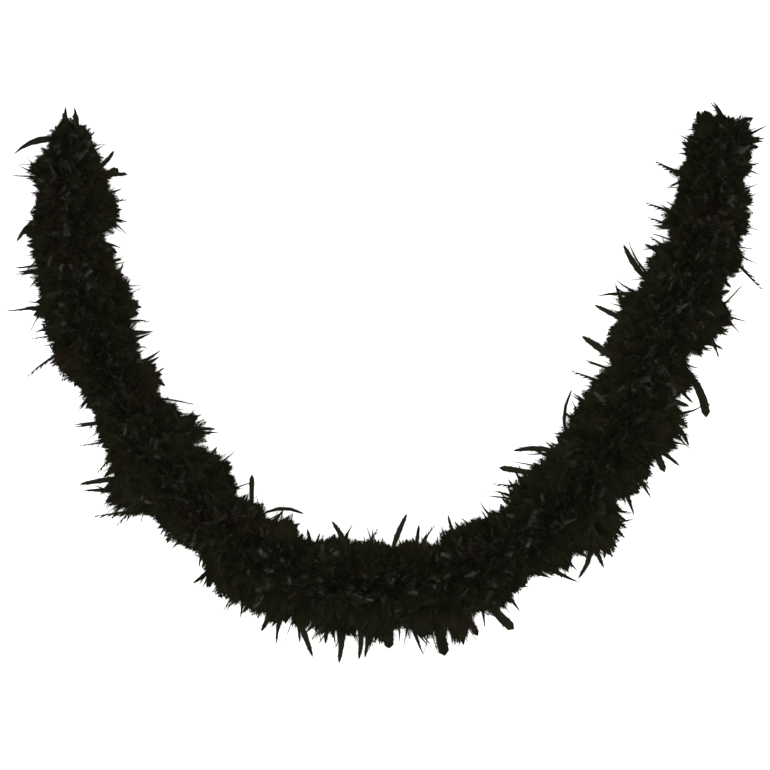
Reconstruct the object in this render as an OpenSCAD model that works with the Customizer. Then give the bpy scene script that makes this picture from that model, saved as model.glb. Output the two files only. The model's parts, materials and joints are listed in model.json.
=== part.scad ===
// Feather boa: a cotton cord with tufts of feathers bound round it, lying in an open U.
// Millimetres. X runs across the U, +Y towards its open side, +Z up from the surface it lies on.
// Eleven straight links of cord stand in for the limp cord, and each bend between two is a hinge.

/* [Lie] */
// Length of one link, from one bending point to the next
link_l = 158; // [150:1:165]
// Direction of the first link, anticlockwise from +X
first_heading = -87; // [-95:1:-80]
// Bend from each link to the next, at the ten bending points in order
bends = [12, 12, 15, 22, 28, 26, 20, 15, 5, 10]; // [0:1:30]
// Height of the cord above the surface
cord_z = 50; // [44:1:56]

/* [Cord and thread] */
// Diameter of the twisted cotton cord
cord_d = 5; // [4:0.5:6]
// Thickness of the binding thread's wraps
thread_t = 0.9; // [0.6:0.1:1.2]
// Width of one band of thread wraps
thread_w = 3; // [2:0.5:4]
// Thickness of the strand that makes the end loop and the knot's tails
strand_d = 3; // [2:0.5:4]
// Length of the end loop
loop_l = 28; // [22:1:34]
// Inside width of the end loop
loop_w = 8; // [6:1:12]
// Diameter of the knot that stops the cord's other end
knot_d = 11; // [9:1:14]

/* [Feathers] */
// Reach of the longest feathers from the cord's middle
long_reach = 92; // [80:1:94]
// Reach of the downy feathers from the cord's middle
short_reach = 66; // [58:1:70]
// Share of the full reach that the tufts at the boa's two ends have
end_share = 0.74; // [0.6:0.02:1]
// Width of a long feather
long_w = 15; // [10:1:17]
// Width of a downy feather
short_w = 19; // [14:1:21]
// Thickness of a feather as a solid
feather_t = 1.2; // [0.8:0.1:1.6]
// Lean of the feathers along the cord, away from the nearest bending point
row_lean = 12; // [0:1:13]
// Lean of the outermost feathers, out past the boa's ends
end_lean = 32; // [20:1:34]
// Outside diameter of the bound quills round the cord
quills_d = 8.2; // [8:0.1:9]
// Length of the bound quills along the cord
quills_l = 20; // [20:1:24]

/* [Hidden] */
$fn = 48;
links = len(bends) + 1;
tufts_per_link = 3;
tufts = links * tufts_per_link;
long_count = 10;
short_count = 9;
// Turn from one tuft to the next, so that the feathers never line up
tuft_turn = 137.5;
// How far each row of feathers stands from the middle of its tuft
row_shift = 2.2;
// Tufts over which the reach grows from the ends to its full size
taper_tufts = 4;
// Clearance between the cord, the quills and the thread
slip = 0.1;
// Clearance between a knuckle and the next link's cord
hinge_gap = 0.5;
cord_r = cord_d / 2;
quills_r = quills_d / 2;
band_x = quills_l / 2 - thread_w / 2 - 0.5;
// Length of the loose tails of the knot
tail_l = 20;
// Outline of a feather past its quill: share of its reach, share of its half width
outline = [[0.36, -0.6], [0.72, -0.95], [0.93, -0.55], [1, -0.2], [0.94, 0.05],
           [0.98, 0.3], [0.9, 0.62], [0.7, 0.98], [0.36, 0.6]];
quill_share = 0.12;

function heading(i) = i == 0 ? first_heading : heading(i - 1) + bends[i - 1];
function along(a) = [cos(a), sin(a)];
function run(i) = i == 0 ? [0, 0] : run(i - 1) + link_l * along(heading(i - 1));
// Middle of the links' own box, which is put on the Z axis
ends_x = [for (i = [0:links]) run(i)[0]];
ends_y = [for (i = [0:links]) run(i)[1]];
box_mid = [(max(ends_x) + min(ends_x)) / 2, (max(ends_y) + min(ends_y)) / 2];
// The feathers reach further below the lowest link than past the ends
box_trim = [4, 28];
function hinge_point(i) = run(i) - box_mid + box_trim;
function reach_share(k) = min(1, end_share + (1 - end_share) * min(k, tufts - 1 - k) / taper_tufts);

function number(i) = i < 9 ? str("0", i + 1) : str(i + 1);
cores = [for (i = [0:links - 1]) str("core_", number(i))];
threads = [for (i = [0:links - 1]) str("thread_", number(i))];
tuft_names = [for (k = [0:tufts - 1]) str("tuft_", number(k))];

// Puts its children on link i, with X along the link and its start at the origin
module on_link(i) {
    at = hinge_point(i);
    translate([at[0], at[1], cord_z]) rotate([0, 0, heading(i)]) children();
}

// Turns what is drawn upright so that it stands along X
module along_x() {
    rotate([0, 90, 0]) children();
}

// One link's cord. It ends in a round knuckle, upright on the bending axis, and starts just clear
// of the last link's knuckle.
module core(i) {
    start = i == 0 ? 0 : cord_r + hinge_gap;
    color("#3a362f") on_link(i) union() {
        translate([start, 0, 0]) along_x() cylinder(r = cord_r, h = link_l - start);
        if (i < links - 1) translate([link_l, 0, 0]) cylinder(r = cord_r, h = cord_d, center = true);
    }
}

function tuft_x(j) = link_l * (j + 0.5) / tufts_per_link;

module band(x) {
    translate([x - thread_w / 2, 0, 0]) along_x() difference() {
        cylinder(r = quills_r + slip + thread_t, h = thread_w);
        translate([0, 0, -1]) cylinder(r = quills_r + slip, h = thread_w + 2);
    }
}

// One link's thread: two bands of wraps over the quills of each tuft
module thread(i) {
    color("#24221d") on_link(i) {
        for (j = [0:tufts_per_link - 1], side = [-1, 1]) band(tuft_x(j) + side * band_x);
    }
}

// One feather, standing out along +Z from the cord's middle, with its width along Y
module feather(reach, width) {
    root = quills_r * 0.8;
    translate([-feather_t / 2, 0, 0]) rotate([90, 0, 90]) linear_extrude(feather_t)
        polygon([for (p = concat([[root / reach, -quill_share]], outline, [[root / reach, quill_share]]))
            [p[1] * width / 2, p[0] * reach]]);
}

// A row of feathers round the cord at x, each leaning along it
module feather_row(x, count, reach, width, turn, lean) {
    for (f = [0:count - 1])
        translate([x, 0, 0]) rotate([turn + 360 * f / count, 0, 0]) rotate([0, lean, 0])
            feather(reach * (1 - 0.06 * ((f * 2) % 3)), width);
}

// How far the row on one side of tuft k leans. A row that faces a bending point stands straight.
function lean(k, side) =
    k == (side < 0 ? 0 : tufts - 1) ? side * end_lean
    : k % tufts_per_link == (side < 0 ? 0 : tufts_per_link - 1) ? 0
    : side * row_lean;

// Side of tuft k that its long feathers stand on. It faces away from a bending point.
function long_side(k) =
    k == 0 ? -1 : k == tufts - 1 ? 1
    : k % tufts_per_link == 0 ? 1 : k % tufts_per_link == tufts_per_link - 1 ? -1
    : k % 2 == 0 ? 1 : -1;

// Tuft k: a row of long feathers and a row of downy ones, with their quills bound round the cord,
// cut flat where the lowest rest on the surface
module tuft(k) {
    i = floor(k / tufts_per_link);
    x = tuft_x(k % tufts_per_link);
    share = reach_share(k);
    side = long_side(k);
    box = 3 * long_reach;
    color("#15140f") on_link(i) difference() {
        union() {
            translate([x - quills_l / 2, 0, 0]) along_x() cylinder(r = quills_r, h = quills_l);
            feather_row(x + side * row_shift, long_count, long_reach * share, long_w * share,
                        k * tuft_turn, lean(k, side));
            feather_row(x - side * row_shift, short_count, short_reach * share, short_w * share,
                        k * tuft_turn, lean(k, -side));
        }
        translate([x - quills_l / 2 - 1, 0, 0]) along_x() cylinder(r = cord_r + slip, h = quills_l + 2);
        translate([x - box / 2, -box / 2, -cord_z - box]) cube(box);
    }
}

// Loop that the cord is folded into at its first end, for hanging the boa up
module end_loop() {
    turn_r = (loop_w + strand_d) / 2;
    near_x = -slip - turn_r - strand_d / 2;
    side_l = loop_l - 2 * turn_r - strand_d;
    color("#3a362f") on_link(0) union() {
        for (end = [0, 1]) translate([near_x - end * side_l, 0, 0]) rotate([0, 0, end * 180 - 90])
            rotate_extrude(angle = 180) translate([turn_r, 0]) circle(d = strand_d);
        for (side = [-1, 1]) translate([near_x - side_l, side * turn_r, 0]) along_x()
            cylinder(d = strand_d, h = side_l);
    }
}

// Knot that stops the cord's last end, with its two cut tails
module end_knot() {
    color("#3a362f") on_link(links - 1) translate([link_l + knot_d / 2 + slip, 0, 0]) union() {
        sphere(d = knot_d);
        for (side = [-1, 1]) rotate([0, 0, side * 18]) along_x() cylinder(d = strand_d, h = tail_l);
    }
}

for (i = [0:links - 1]) core(i);
for (i = [0:links - 1]) thread(i);
for (k = [0:tufts - 1]) tuft(k);
end_loop();
end_knot();
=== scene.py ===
"""A feather boa: a twisted cotton cord with tufts of dyed feathers bound round it, lying in an open U.

Every length is in metres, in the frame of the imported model. The feathers are made once each as a
small pattern, and every tuft is planted with bent and turned copies of them.
"""

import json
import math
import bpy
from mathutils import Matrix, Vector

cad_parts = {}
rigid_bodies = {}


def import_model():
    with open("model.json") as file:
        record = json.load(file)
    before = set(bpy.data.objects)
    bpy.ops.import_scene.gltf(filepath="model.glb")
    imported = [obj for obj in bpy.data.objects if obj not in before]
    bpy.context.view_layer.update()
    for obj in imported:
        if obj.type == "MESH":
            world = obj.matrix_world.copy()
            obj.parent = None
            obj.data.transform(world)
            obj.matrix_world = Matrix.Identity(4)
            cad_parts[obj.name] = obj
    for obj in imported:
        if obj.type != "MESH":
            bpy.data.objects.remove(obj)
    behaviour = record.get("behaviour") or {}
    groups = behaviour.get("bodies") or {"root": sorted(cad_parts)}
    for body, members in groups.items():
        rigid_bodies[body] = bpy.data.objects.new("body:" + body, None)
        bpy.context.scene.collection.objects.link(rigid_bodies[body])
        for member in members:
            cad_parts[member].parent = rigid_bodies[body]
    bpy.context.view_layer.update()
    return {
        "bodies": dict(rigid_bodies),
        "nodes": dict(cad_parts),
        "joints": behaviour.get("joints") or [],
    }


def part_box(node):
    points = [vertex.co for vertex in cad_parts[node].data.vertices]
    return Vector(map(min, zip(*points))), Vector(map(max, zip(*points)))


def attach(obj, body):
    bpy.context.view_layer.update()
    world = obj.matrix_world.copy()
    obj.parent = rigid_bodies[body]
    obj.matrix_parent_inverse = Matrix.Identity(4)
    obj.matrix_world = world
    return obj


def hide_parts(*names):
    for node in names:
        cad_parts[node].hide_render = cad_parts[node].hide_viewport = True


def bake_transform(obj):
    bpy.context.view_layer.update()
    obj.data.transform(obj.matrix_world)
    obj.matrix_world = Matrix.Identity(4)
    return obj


bl_info = {
    "name": "Feather boa",
    "version": (1, 0, 0),
    "blender": (4, 5, 0),
    "location": "3D View > Sidebar > Feather boa",
    "description": "Builds a feather boa of twisted cord, binding thread and tufts of dyed feathers",
    "category": "Add Mesh",
}

import bpy
import numpy as np
from mathutils import Vector

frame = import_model()

LINKS = sorted(frame["bodies"])
TUFTS = sorted(node for node in frame["nodes"] if node.startswith("tuft_"))
TUFTS_PER_LINK = len(TUFTS) // len(LINKS)
BENDS = [Vector(j["pos_m"]) for j in sorted(frame["joints"], key=lambda j: j["name"])]
# Every link is as long as the one between the first two bending points.
LINK_LENGTH = (BENDS[1] - BENDS[0]).length
UP = np.array([0.0, 0.0, 1.0])


def far_end(core, bend):
    """The end of a link's cord that is away from its bending point."""
    low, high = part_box(core)
    return bend + ((low + high) / 2 - bend).normalized() * LINK_LENGTH


# The line down the middle of the cord: its two ends, and the bending points between them.
ROUTE = np.array([far_end("core_01", BENDS[0]), *BENDS, far_end("core_11", BENDS[-1])])
# Where the feathers start, out from the cord's middle.
ROOT = 0.004
# A feather bends by its distance from its root to this power, so that it curves most at its tip.
BEND_POWER = 1.3
# The share of a feather's whole curve by which the straight line from its root to its tip turns.
CHORD_TURN = 0.435

# The edge of the feather mass on the U's outer and inner sides, at the places where it turns: how
# far along the boa, in links from the loop's end, and how far out from the cord, in millimetres.
OUTER_EDGE = [
    (-0.15, 10), (-0.1, 15), (0, 25), (0.15, 35), (0.25, 60), (0.35, 60), (0.45, 45), (0.7, 55),
    (0.8, 70), (1, 60), (1.1, 60), (1.2, 70), (1.3, 60), (1.5, 75), (1.75, 65), (1.85, 65),
    (1.95, 80), (2.05, 65), (2.2, 50), (2.5, 45), (2.6, 55), (2.9, 65), (3, 80), (3.1, 95),
    (3.2, 100), (3.3, 85), (3.4, 60), (3.7, 55), (3.9, 45), (4, 60), (4.15, 75), (4.45, 75),
    (4.6, 80), (4.7, 80), (4.75, 65), (4.9, 70), (5.25, 70), (5.35, 75), (5.5, 75), (5.6, 55),
    (5.7, 70), (5.85, 75), (5.95, 95), (6.1, 90), (6.2, 60), (6.4, 80), (6.5, 65), (6.6, 55),
    (6.75, 55), (6.95, 75), (7.05, 60), (7.15, 75), (7.3, 95), (7.45, 95), (7.6, 75), (7.65, 50),
    (7.85, 70), (8.1, 65), (8.3, 85), (8.4, 85), (8.5, 75), (8.6, 45), (8.75, 60), (8.85, 65),
    (8.95, 40), (9.05, 35), (9.1, 55), (9.2, 60), (9.35, 80), (9.5, 75), (9.6, 50), (9.75, 45),
    (9.85, 70), (9.95, 65), (10.05, 50), (10.2, 55), (10.5, 50), (10.6, 35), (10.75, 40), (11.1, 40),
    (11.2, 20),
]
INNER_EDGE = [
    (-0.15, 10), (-0.1, 15), (0, 25), (0.1, 35), (0.25, 40), (0.35, 55), (0.45, 50), (0.6, 65),
    (0.8, 60), (0.95, 35), (1.05, 45), (1.15, 55), (1.2, 45), (1.3, 55), (1.7, 65), (1.8, 45),
    (2, 50), (2.1, 40), (2.25, 55), (2.4, 60), (2.5, 45), (2.6, 45), (2.75, 60), (2.85, 65),
    (2.95, 80), (3.05, 80), (3.15, 65), (3.2, 55), (3.4, 70), (3.5, 75), (3.7, 60), (3.85, 45),
    (4, 55), (4.1, 60), (4.2, 45), (4.35, 65), (4.45, 75), (4.55, 50), (4.7, 45), (4.95, 65),
    (5.1, 65), (5.25, 60), (5.4, 65), (5.6, 55), (5.8, 60), (5.95, 50), (6.1, 45), (6.2, 60),
    (6.6, 55), (6.9, 45), (7.05, 65), (7.4, 65), (7.6, 60), (8, 70), (8.1, 65), (8.4, 70),
    (8.65, 55), (8.8, 70), (9.1, 70), (9.2, 85), (9.3, 80), (9.4, 60), (9.8, 65), (9.95, 40),
    (10.05, 60), (10.2, 60), (10.3, 50), (10.45, 50), (10.6, 65), (10.7, 45), (10.8, 55), (11.1, 45),
    (11.2, 15),
]
# How far the down reaches past the cord's two ends.
END_REACH = (0.022, 0.027)

# Flat feathers whose tips stand clear of the mass, each as: where its tip is along the boa, in
# links; how far out it reaches, in millimetres; its lean at the tip and how far it curves, in
# degrees, both towards the knot's end; its width in millimetres; and its shape.
OUTER_TIPS = [
    (0.15, 84, 45, 60, 11, "spike"), (0.15, 64, -60, -50, 4, "spike"), (0.25, 87, 0, 0, 2, "spike"),
    (0.3, 74, -15, 0, 3, "spike"), (0.5, 56, -10, 0, 8, "frayed"), (0.68, 70, 50, 60, 4, "spike"),
    (0.72, 79, -5, 0, 3, "spike"), (0.88, 80, 55, 50, 7, "blunt"), (0.93, 70, 10, 0, 6, "frayed"),
    (1.0, 79, -8, 0, 3, "spike"), (1.04, 67, -15, 0, 4, "spike"), (1.13, 96, -5, 10, 6, "split"),
    (1.23, 96, 45, 30, 3, "spike"), (1.27, 82, 35, 20, 7, "spike"), (1.33, 64, 5, 0, 7, "blunt"),
    (1.4, 121, -12, -15, 6, "spike"), (1.42, 93, -15, 0, 7, "split"), (1.7, 98, 62, 55, 3, "spike"),
    (1.73, 94, -20, -50, 3, "spike"), (1.85, 77, -10, 0, 3, "spike"), (1.95, 113, 22, 25, 8, "frayed"),
    (2.08, 69, -10, 0, 4, "spike"), (2.37, 55, 30, 30, 7, "blunt"), (2.46, 83, -20, 0, 6, "split"),
    (2.62, 85, -25, -20, 6, "frayed"), (2.66, 80, 30, 60, 3, "spike"), (2.87, 84, 15, 10, 8, "frayed"),
    (2.89, 113, -22, 8, 8, "blunt"), (2.92, 118, -36, -15, 11, "spike"),
    (3.15, 120, -32, -10, 10, "frayed"), (3.3, 104, 5, 0, 8, "frayed"),
    (3.72, 69, 0, 10, 9, "spike"), (4.16, 80, -30, -10, 9, "frayed"),
    (4.3, 94, -5, -10, 7, "frayed"), (4.72, 82, 20, 0, 8, "frayed"), (4.98, 104, 35, -5, 9, "blunt"),
    (5.14, 96, -10, -10, 3, "spike"), (5.18, 104, 0, 5, 9, "blunt"), (5.3, 99, -10, -40, 8, "blunt"),
    (5.42, 77, 60, 60, 5, "blunt"), (5.52, 82, 0, 0, 13, "square"), (5.6, 90, 0, 5, 4, "spike"),
    (5.76, 104, 15, 10, 8, "spike"), (5.9, 102, 0, 0, 15, "square"), (6.0, 106, -30, -10, 7, "spike"),
    (6.15, 86, 10, 0, 9, "square"), (6.4, 100, 25, 30, 13, "square"), (6.5, 91, 5, -10, 9, "spike"),
    (6.85, 74, 40, 10, 6, "spike"), (7.0, 103, 30, 10, 9, "spike"), (7.02, 99, -75, -75, 8, "blunt"),
    (7.2, 100, -20, -10, 8, "blunt"), (7.63, 86, -35, -10, 12, "spike"), (7.82, 91, -25, -10, 9, "spike"),
    (7.9, 76, -45, -40, 7, "spike"), (8.0, 73, -35, 0, 6, "spike"), (8.08, 78, -35, 0, 10, "square"),
    (8.16, 96, -10, -20, 6, "blunt"), (8.3, 105, -15, 0, 5, "spike"), (8.38, 99, 0, 0, 2, "spike"),
    (8.55, 62, -10, 0, 2, "spike"), (8.62, 96, -62, -60, 13, "square"), (8.8, 72, -40, -40, 9, "frayed"),
    (9.06, 54, -30, 0, 6, "spike"), (9.1, 82, -48, -30, 7, "spike"), (9.5, 102, 5, -10, 5, "spike"),
    (9.54, 91, 15, 0, 3, "spike"), (9.62, 67, 35, 10, 7, "spike"), (9.8, 100, -28, 0, 9, "frayed"),
    (9.96, 90, -8, 0, 3, "spike"), (10.08, 68, 45, 20, 5, "spike"), (10.88, 46, 20, 0, 4, "spike"),
    (10.97, 49, 10, 0, 8, "blunt"),
]
INNER_TIPS = [
    (0.14, 57, -62, -55, 7, "blunt"), (0.3, 60, -35, -40, 11, "square"), (0.45, 63, -45, -20, 4, "spike"),
    (0.6, 74, 0, 20, 8, "frayed"), (0.95, 66, 55, 40, 3, "spike"), (0.99, 74, 60, 40, 4, "spike"),
    (1.12, 62, 45, 50, 6, "spike"), (1.51, 88, 15, 0, 3, "spike"), (1.7, 67, 20, 20, 9, "blunt"),
    (1.96, 75, 12, -15, 11, "spike"), (2.1, 54, -5, -10, 6, "spike"), (2.22, 72, -8, -10, 9, "spike"),
    (2.5, 56, 75, 60, 8, "blunt"), (2.82, 81, 48, 20, 5, "frayed"), (2.85, 72, 45, 25, 3, "spike"),
    (2.97, 88, 25, 10, 5, "spike"), (3.46, 99, 0, -10, 4, "spike"), (3.82, 79, -40, 0, 7, "square"),
    (3.92, 85, 50, 60, 3, "spike"), (4.05, 71, -30, 0, 4, "spike"), (4.27, 83, -20, 0, 3, "spike"),
    (4.56, 77, 95, 90, 6, "blunt"), (4.9, 83, -50, -25, 8, "blunt"), (5.16, 90, 22, 0, 6, "spike"),
    (5.3, 91, -25, -15, 4, "spike"), (5.41, 89, 8, 10, 5, "spike"), (5.5, 73, -5, 0, 4, "spike"),
    (5.79, 95, 35, 15, 8, "blunt"), (5.92, 76, 20, 0, 6, "blunt"), (6.13, 71, 62, 40, 8, "frayed"),
    (6.74, 81, -52, -15, 4, "spike"), (6.93, 86, -42, 0, 8, "frayed"), (7.13, 93, -40, -10, 8, "square"),
    (7.2, 102, -35, 0, 3, "spike"), (7.35, 90, -50, -10, 4, "spike"), (7.38, 98, -55, -45, 8, "blunt"),
    (7.65, 80, 0, 0, 8, "spike"), (7.75, 78, -30, -20, 4, "spike"), (8.2, 80, 40, 20, 5, "spike"),
    (8.25, 89, 85, 70, 5, "blunt"), (8.45, 98, -5, 0, 9, "frayed"), (8.6, 93, -5, 0, 4, "split"),
    (8.78, 103, 8, -10, 11, "blunt"), (8.85, 74, -10, -60, 4, "spike"), (9.1, 103, 3, 0, 8, "blunt"),
    (9.15, 114, -38, -35, 9, "spike"), (9.37, 95, 50, 20, 12, "spike"), (9.42, 88, -25, 0, 2, "spike"),
    (9.73, 100, 45, 30, 9, "blunt"), (9.87, 103, 60, 50, 4, "spike"), (9.93, 69, 20, 0, 8, "frayed"),
    (10.02, 78, -15, -10, 7, "spike"), (10.12, 81, 5, -20, 8, "frayed"), (10.25, 90, 8, 0, 9, "frayed"),
    (10.33, 65, 25, 0, 6, "spike"), (10.68, 85, 25, 25, 11, "frayed"), (10.78, 61, 0, 0, 6, "spike"),
]
# Flat feathers past the two ends: how far the tip is to the outer side of the cord's line and how
# far past its end, in millimetres, then curve, width and shape as above.
LOOP_END_TIPS = [
    (-4, 43, 25, 10, "spike"), (4, 43, -25, 10, "spike"), (8, 33, -10, 10, "spike"),
    (-9, 32, 15, 10, "spike"), (12, 25, -10, 9, "frayed"), (19, 14, -60, 10, "spike"),
    (-8, 22, 0, 10, "frayed"), (-14, 14, 0, 9, "frayed"), (-27, 8, 0, 9, "frayed"),
    (-36, 2, 10, 8, "frayed"),
]
KNOT_END_TIPS = [
    (-25, 50, 45, 8, "spike"), (-31, 39, 50, 9, "frayed"), (-42, 27, -60, 10, "blunt"),
    (-10, 30, 0, 9, "frayed"), (17, 35, 0, 5, "spike"), (34, 31, -60, 8, "blunt"),
    (40, 12, 0, 8, "frayed"), (8, 27, 0, 10, "frayed"),
]


# ---------------------------------------------------------------- small tools


def linear(hex_colour):
    """An sRGB hex colour as linear red, green, blue and alpha."""
    parts = [int(hex_colour[i : i + 2], 16) / 255 for i in (1, 3, 5)]
    return [c / 12.92 if c <= 0.04045 else ((c + 0.055) / 1.055) ** 2.4 for c in parts] + [1.0]


def deselect():
    for o in bpy.context.selected_objects:
        o.select_set(False)


def line(t):
    """Places and directions on the smooth line through ROUTE. t is 0 at the loop's end, and rises by
    1 a link."""
    ends = np.vstack([2 * ROUTE[0] - ROUTE[1], ROUTE, 2 * ROUTE[-1] - ROUTE[-2]])
    t = np.asarray(t, float)
    i = np.clip(np.floor(t).astype(int), 0, len(ROUTE) - 2)
    u = (t - i)[:, None]
    p0, p1, p2, p3 = (ends[i + k] for k in range(4))
    square = 2 * p0 - 5 * p1 + 4 * p2 - p3
    cube = 3 * p1 - p0 - 3 * p2 + p3
    place = 0.5 * (2 * p1 + (p2 - p0) * u + square * u**2 + cube * u**3)
    slope = 0.5 * ((p2 - p0) + 2 * square * u + 3 * cube * u**2)
    return place, slope / np.linalg.norm(slope, axis=1, keepdims=True)


def unit(v):
    return v / np.maximum(np.linalg.norm(v, axis=1, keepdims=True), 1e-9)


def node_link(tree, kind, settings=(), **inputs):
    """Adds a shader node, sets its settings, and sets or links its inputs by name."""
    node = tree.nodes.new(kind)
    for name, value in dict(settings).items():
        setattr(node, name, value)
    for name, value in inputs.items():
        socket = node.inputs[int(name[1:]) if name[1:].isdigit() else name.replace("_", " ")]
        if isinstance(value, bpy.types.NodeSocket):
            tree.links.new(value, socket)
        else:
            socket.default_value = value
    return node


# ---------------------------------------------------------------- materials


def new_finish(name):
    """A new material with its tree and its shader."""
    material = bpy.data.materials.new(name)
    material.use_nodes = True
    tree = material.node_tree
    return material, tree, tree.nodes["Principled BSDF"]


def feather_finish(name, colours, red, grain_mm, roughness, specular, sheen):
    """Dyed turkey feather. The dye leaves it nearly black, with olive and reddish patches, the barbs give a
    fine slanting grain, and a weak sheen lies on it. The paler greys that each feather's tone brings out on
    the down, which lies mostly on top, are partly its own softer colour and partly a painted highlight."""
    material, tree, shader = new_finish(name)
    tone_and_highlight = node_link(tree, "ShaderNodeAttribute", {"attribute_name": "tone_and_highlight"})
    vane = node_link(tree, "ShaderNodeUVMap", {"uv_map": "feather"})
    place = node_link(tree, "ShaderNodeTexCoord")
    # Patches of uneven dye, about 30 mm across
    dye = node_link(tree, "ShaderNodeTexNoise", Vector=place.outputs["Object"], Scale=33.0, Detail=2.0)
    shade = node_link(
        tree, "ShaderNodeMath", {"operation": "MULTIPLY_ADD"}, i0=dye.outputs["Fac"], i1=0.5, i2=-0.25
    )
    shade = node_link(
        tree, "ShaderNodeMath", {"operation": "ADD"}, i0=shade.outputs[0], i1=tone_and_highlight.outputs["Fac"]
    )
    # The ramp runs from the darkest dye at low tone to the palest grey at high tone; its grey and pale end,
    # which the down reaches, is partly a painted highlight
    ramp = node_link(tree, "ShaderNodeValToRGB", Fac=shade.outputs[0])
    stops = ramp.color_ramp.elements
    stops[0].color, stops[1].color = linear(colours[0]), linear(colours[-1])
    for i, colour in enumerate(colours[1:-1], start=1):
        stops.new(i / (len(colours) - 1)).color = linear(colour)
    # The dye has turned reddish in places, about 60 mm apart
    faded = node_link(tree, "ShaderNodeTexNoise", Vector=place.outputs["Object"], Scale=16.0, Detail=1.0)
    share = node_link(
        tree, "ShaderNodeMapRange", Value=faded.outputs["Fac"],
        From_Min=0.62, From_Max=0.72, To_Min=0.0, To_Max=0.4,
    )
    hue = node_link(
        tree, "ShaderNodeMix", {"data_type": "RGBA"},
        i0=share.outputs[0], i6=ramp.outputs["Color"], i7=linear(red),
    )
    # Barbs lie about half a millimetre apart, and are drawn coarser so that they show. A wave's
    # period is 0.628 over its scale, and the vane's own coordinates run at 1 to 50 mm.
    grain = node_link(
        tree, "ShaderNodeTexWave", {"wave_type": "BANDS", "bands_direction": "DIAGONAL"},
        Vector=vane.outputs["UV"], Scale=0.628 * 50 / grain_mm, Distortion=1.5, Detail=2.0,
    )
    bump = node_link(tree, "ShaderNodeBump", Height=grain.outputs["Fac"], Strength=0.3, Distance=0.0005)
    rough = node_link(
        tree, "ShaderNodeMapRange", Value=grain.outputs["Fac"],
        To_Min=roughness - 0.08, To_Max=roughness + 0.1,
    )
    tree.links.new(hue.outputs[2], shader.inputs["Base Color"])
    tree.links.new(rough.outputs["Result"], shader.inputs["Roughness"])
    tree.links.new(bump.outputs["Normal"], shader.inputs["Normal"])
    # Keratin has an index of about 1.55. Dye and dust dull its surface.
    shader.inputs["IOR"].default_value = 1.55
    shader.inputs["Specular IOR Level"].default_value = specular
    shader.inputs["Sheen Weight"].default_value = sheen
    shader.inputs["Sheen Roughness"].default_value = 0.5
    shader.inputs["Sheen Tint"].default_value = linear("#6a6862")
    return material


def cotton_finish(name, dark, light, fibre_mm, roughness):
    """Dyed cotton yarn: matt, with the paler flecks of single fibres along its twist."""
    material, tree, shader = new_finish(name)
    place = node_link(tree, "ShaderNodeTexCoord")
    fibre = node_link(
        tree, "ShaderNodeTexNoise", Vector=place.outputs["Object"], Scale=1000 / fibre_mm, Detail=3.0
    )
    mix = node_link(
        tree, "ShaderNodeMix", {"data_type": "RGBA"},
        i0=fibre.outputs["Fac"], i6=linear(dark), i7=linear(light),
    )
    bump = node_link(tree, "ShaderNodeBump", Height=fibre.outputs["Fac"], Strength=0.5, Distance=0.0003)
    tree.links.new(mix.outputs[2], shader.inputs["Base Color"])
    tree.links.new(bump.outputs["Normal"], shader.inputs["Normal"])
    shader.inputs["Roughness"].default_value = roughness
    shader.inputs["Specular IOR Level"].default_value = 0.1
    return material


# ---------------------------------------------------------------- feather patterns


def start_plane(name):
    """A one by one plane from x 0 to 1, in edit mode with all of it selected."""
    deselect()
    bpy.ops.mesh.primitive_plane_add(size=1, location=(0.5, 0, 0))
    bpy.context.object.name = name
    bpy.ops.object.transform_apply(location=True)
    bpy.ops.object.mode_set(mode="EDIT")
    return bpy.context.object


def pick(o, wanted):
    """Selects the vertices of o for which wanted(x, y) is true. o is in edit mode, and stays in it."""
    bpy.ops.mesh.select_mode(type="VERT")
    bpy.ops.mesh.select_all(action="DESELECT")
    bpy.ops.object.mode_set(mode="OBJECT")
    for v in o.data.vertices:
        v.select = bool(wanted(v.co.x, v.co.y))
    bpy.ops.object.mode_set(mode="EDIT")


def apply_modifier(o, kind, **settings):
    modifier = o.modifiers.new(kind.title(), kind)
    for name, value in settings.items():
        setattr(modifier, name, value)
    bpy.ops.object.modifier_apply(modifier=modifier.name)


def rachis(name, width, steps):
    """The middle rib of a feather: a strip along x that narrows to a point."""
    o = start_plane(name)
    bpy.ops.transform.resize(value=(1, width, 1), center_override=(0, 0, 0))
    for i in range(1, steps):
        bpy.ops.mesh.select_all(action="SELECT")
        bpy.ops.mesh.bisect(plane_co=(i / steps, 0, 0), plane_no=(1, 0, 0))
    pick(o, lambda x, y: x > 0.999)
    bpy.ops.transform.resize(value=(1, 0.2, 1), center_override=(1, 0, 0))
    bpy.ops.object.mode_set(mode="OBJECT")
    return o


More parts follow.
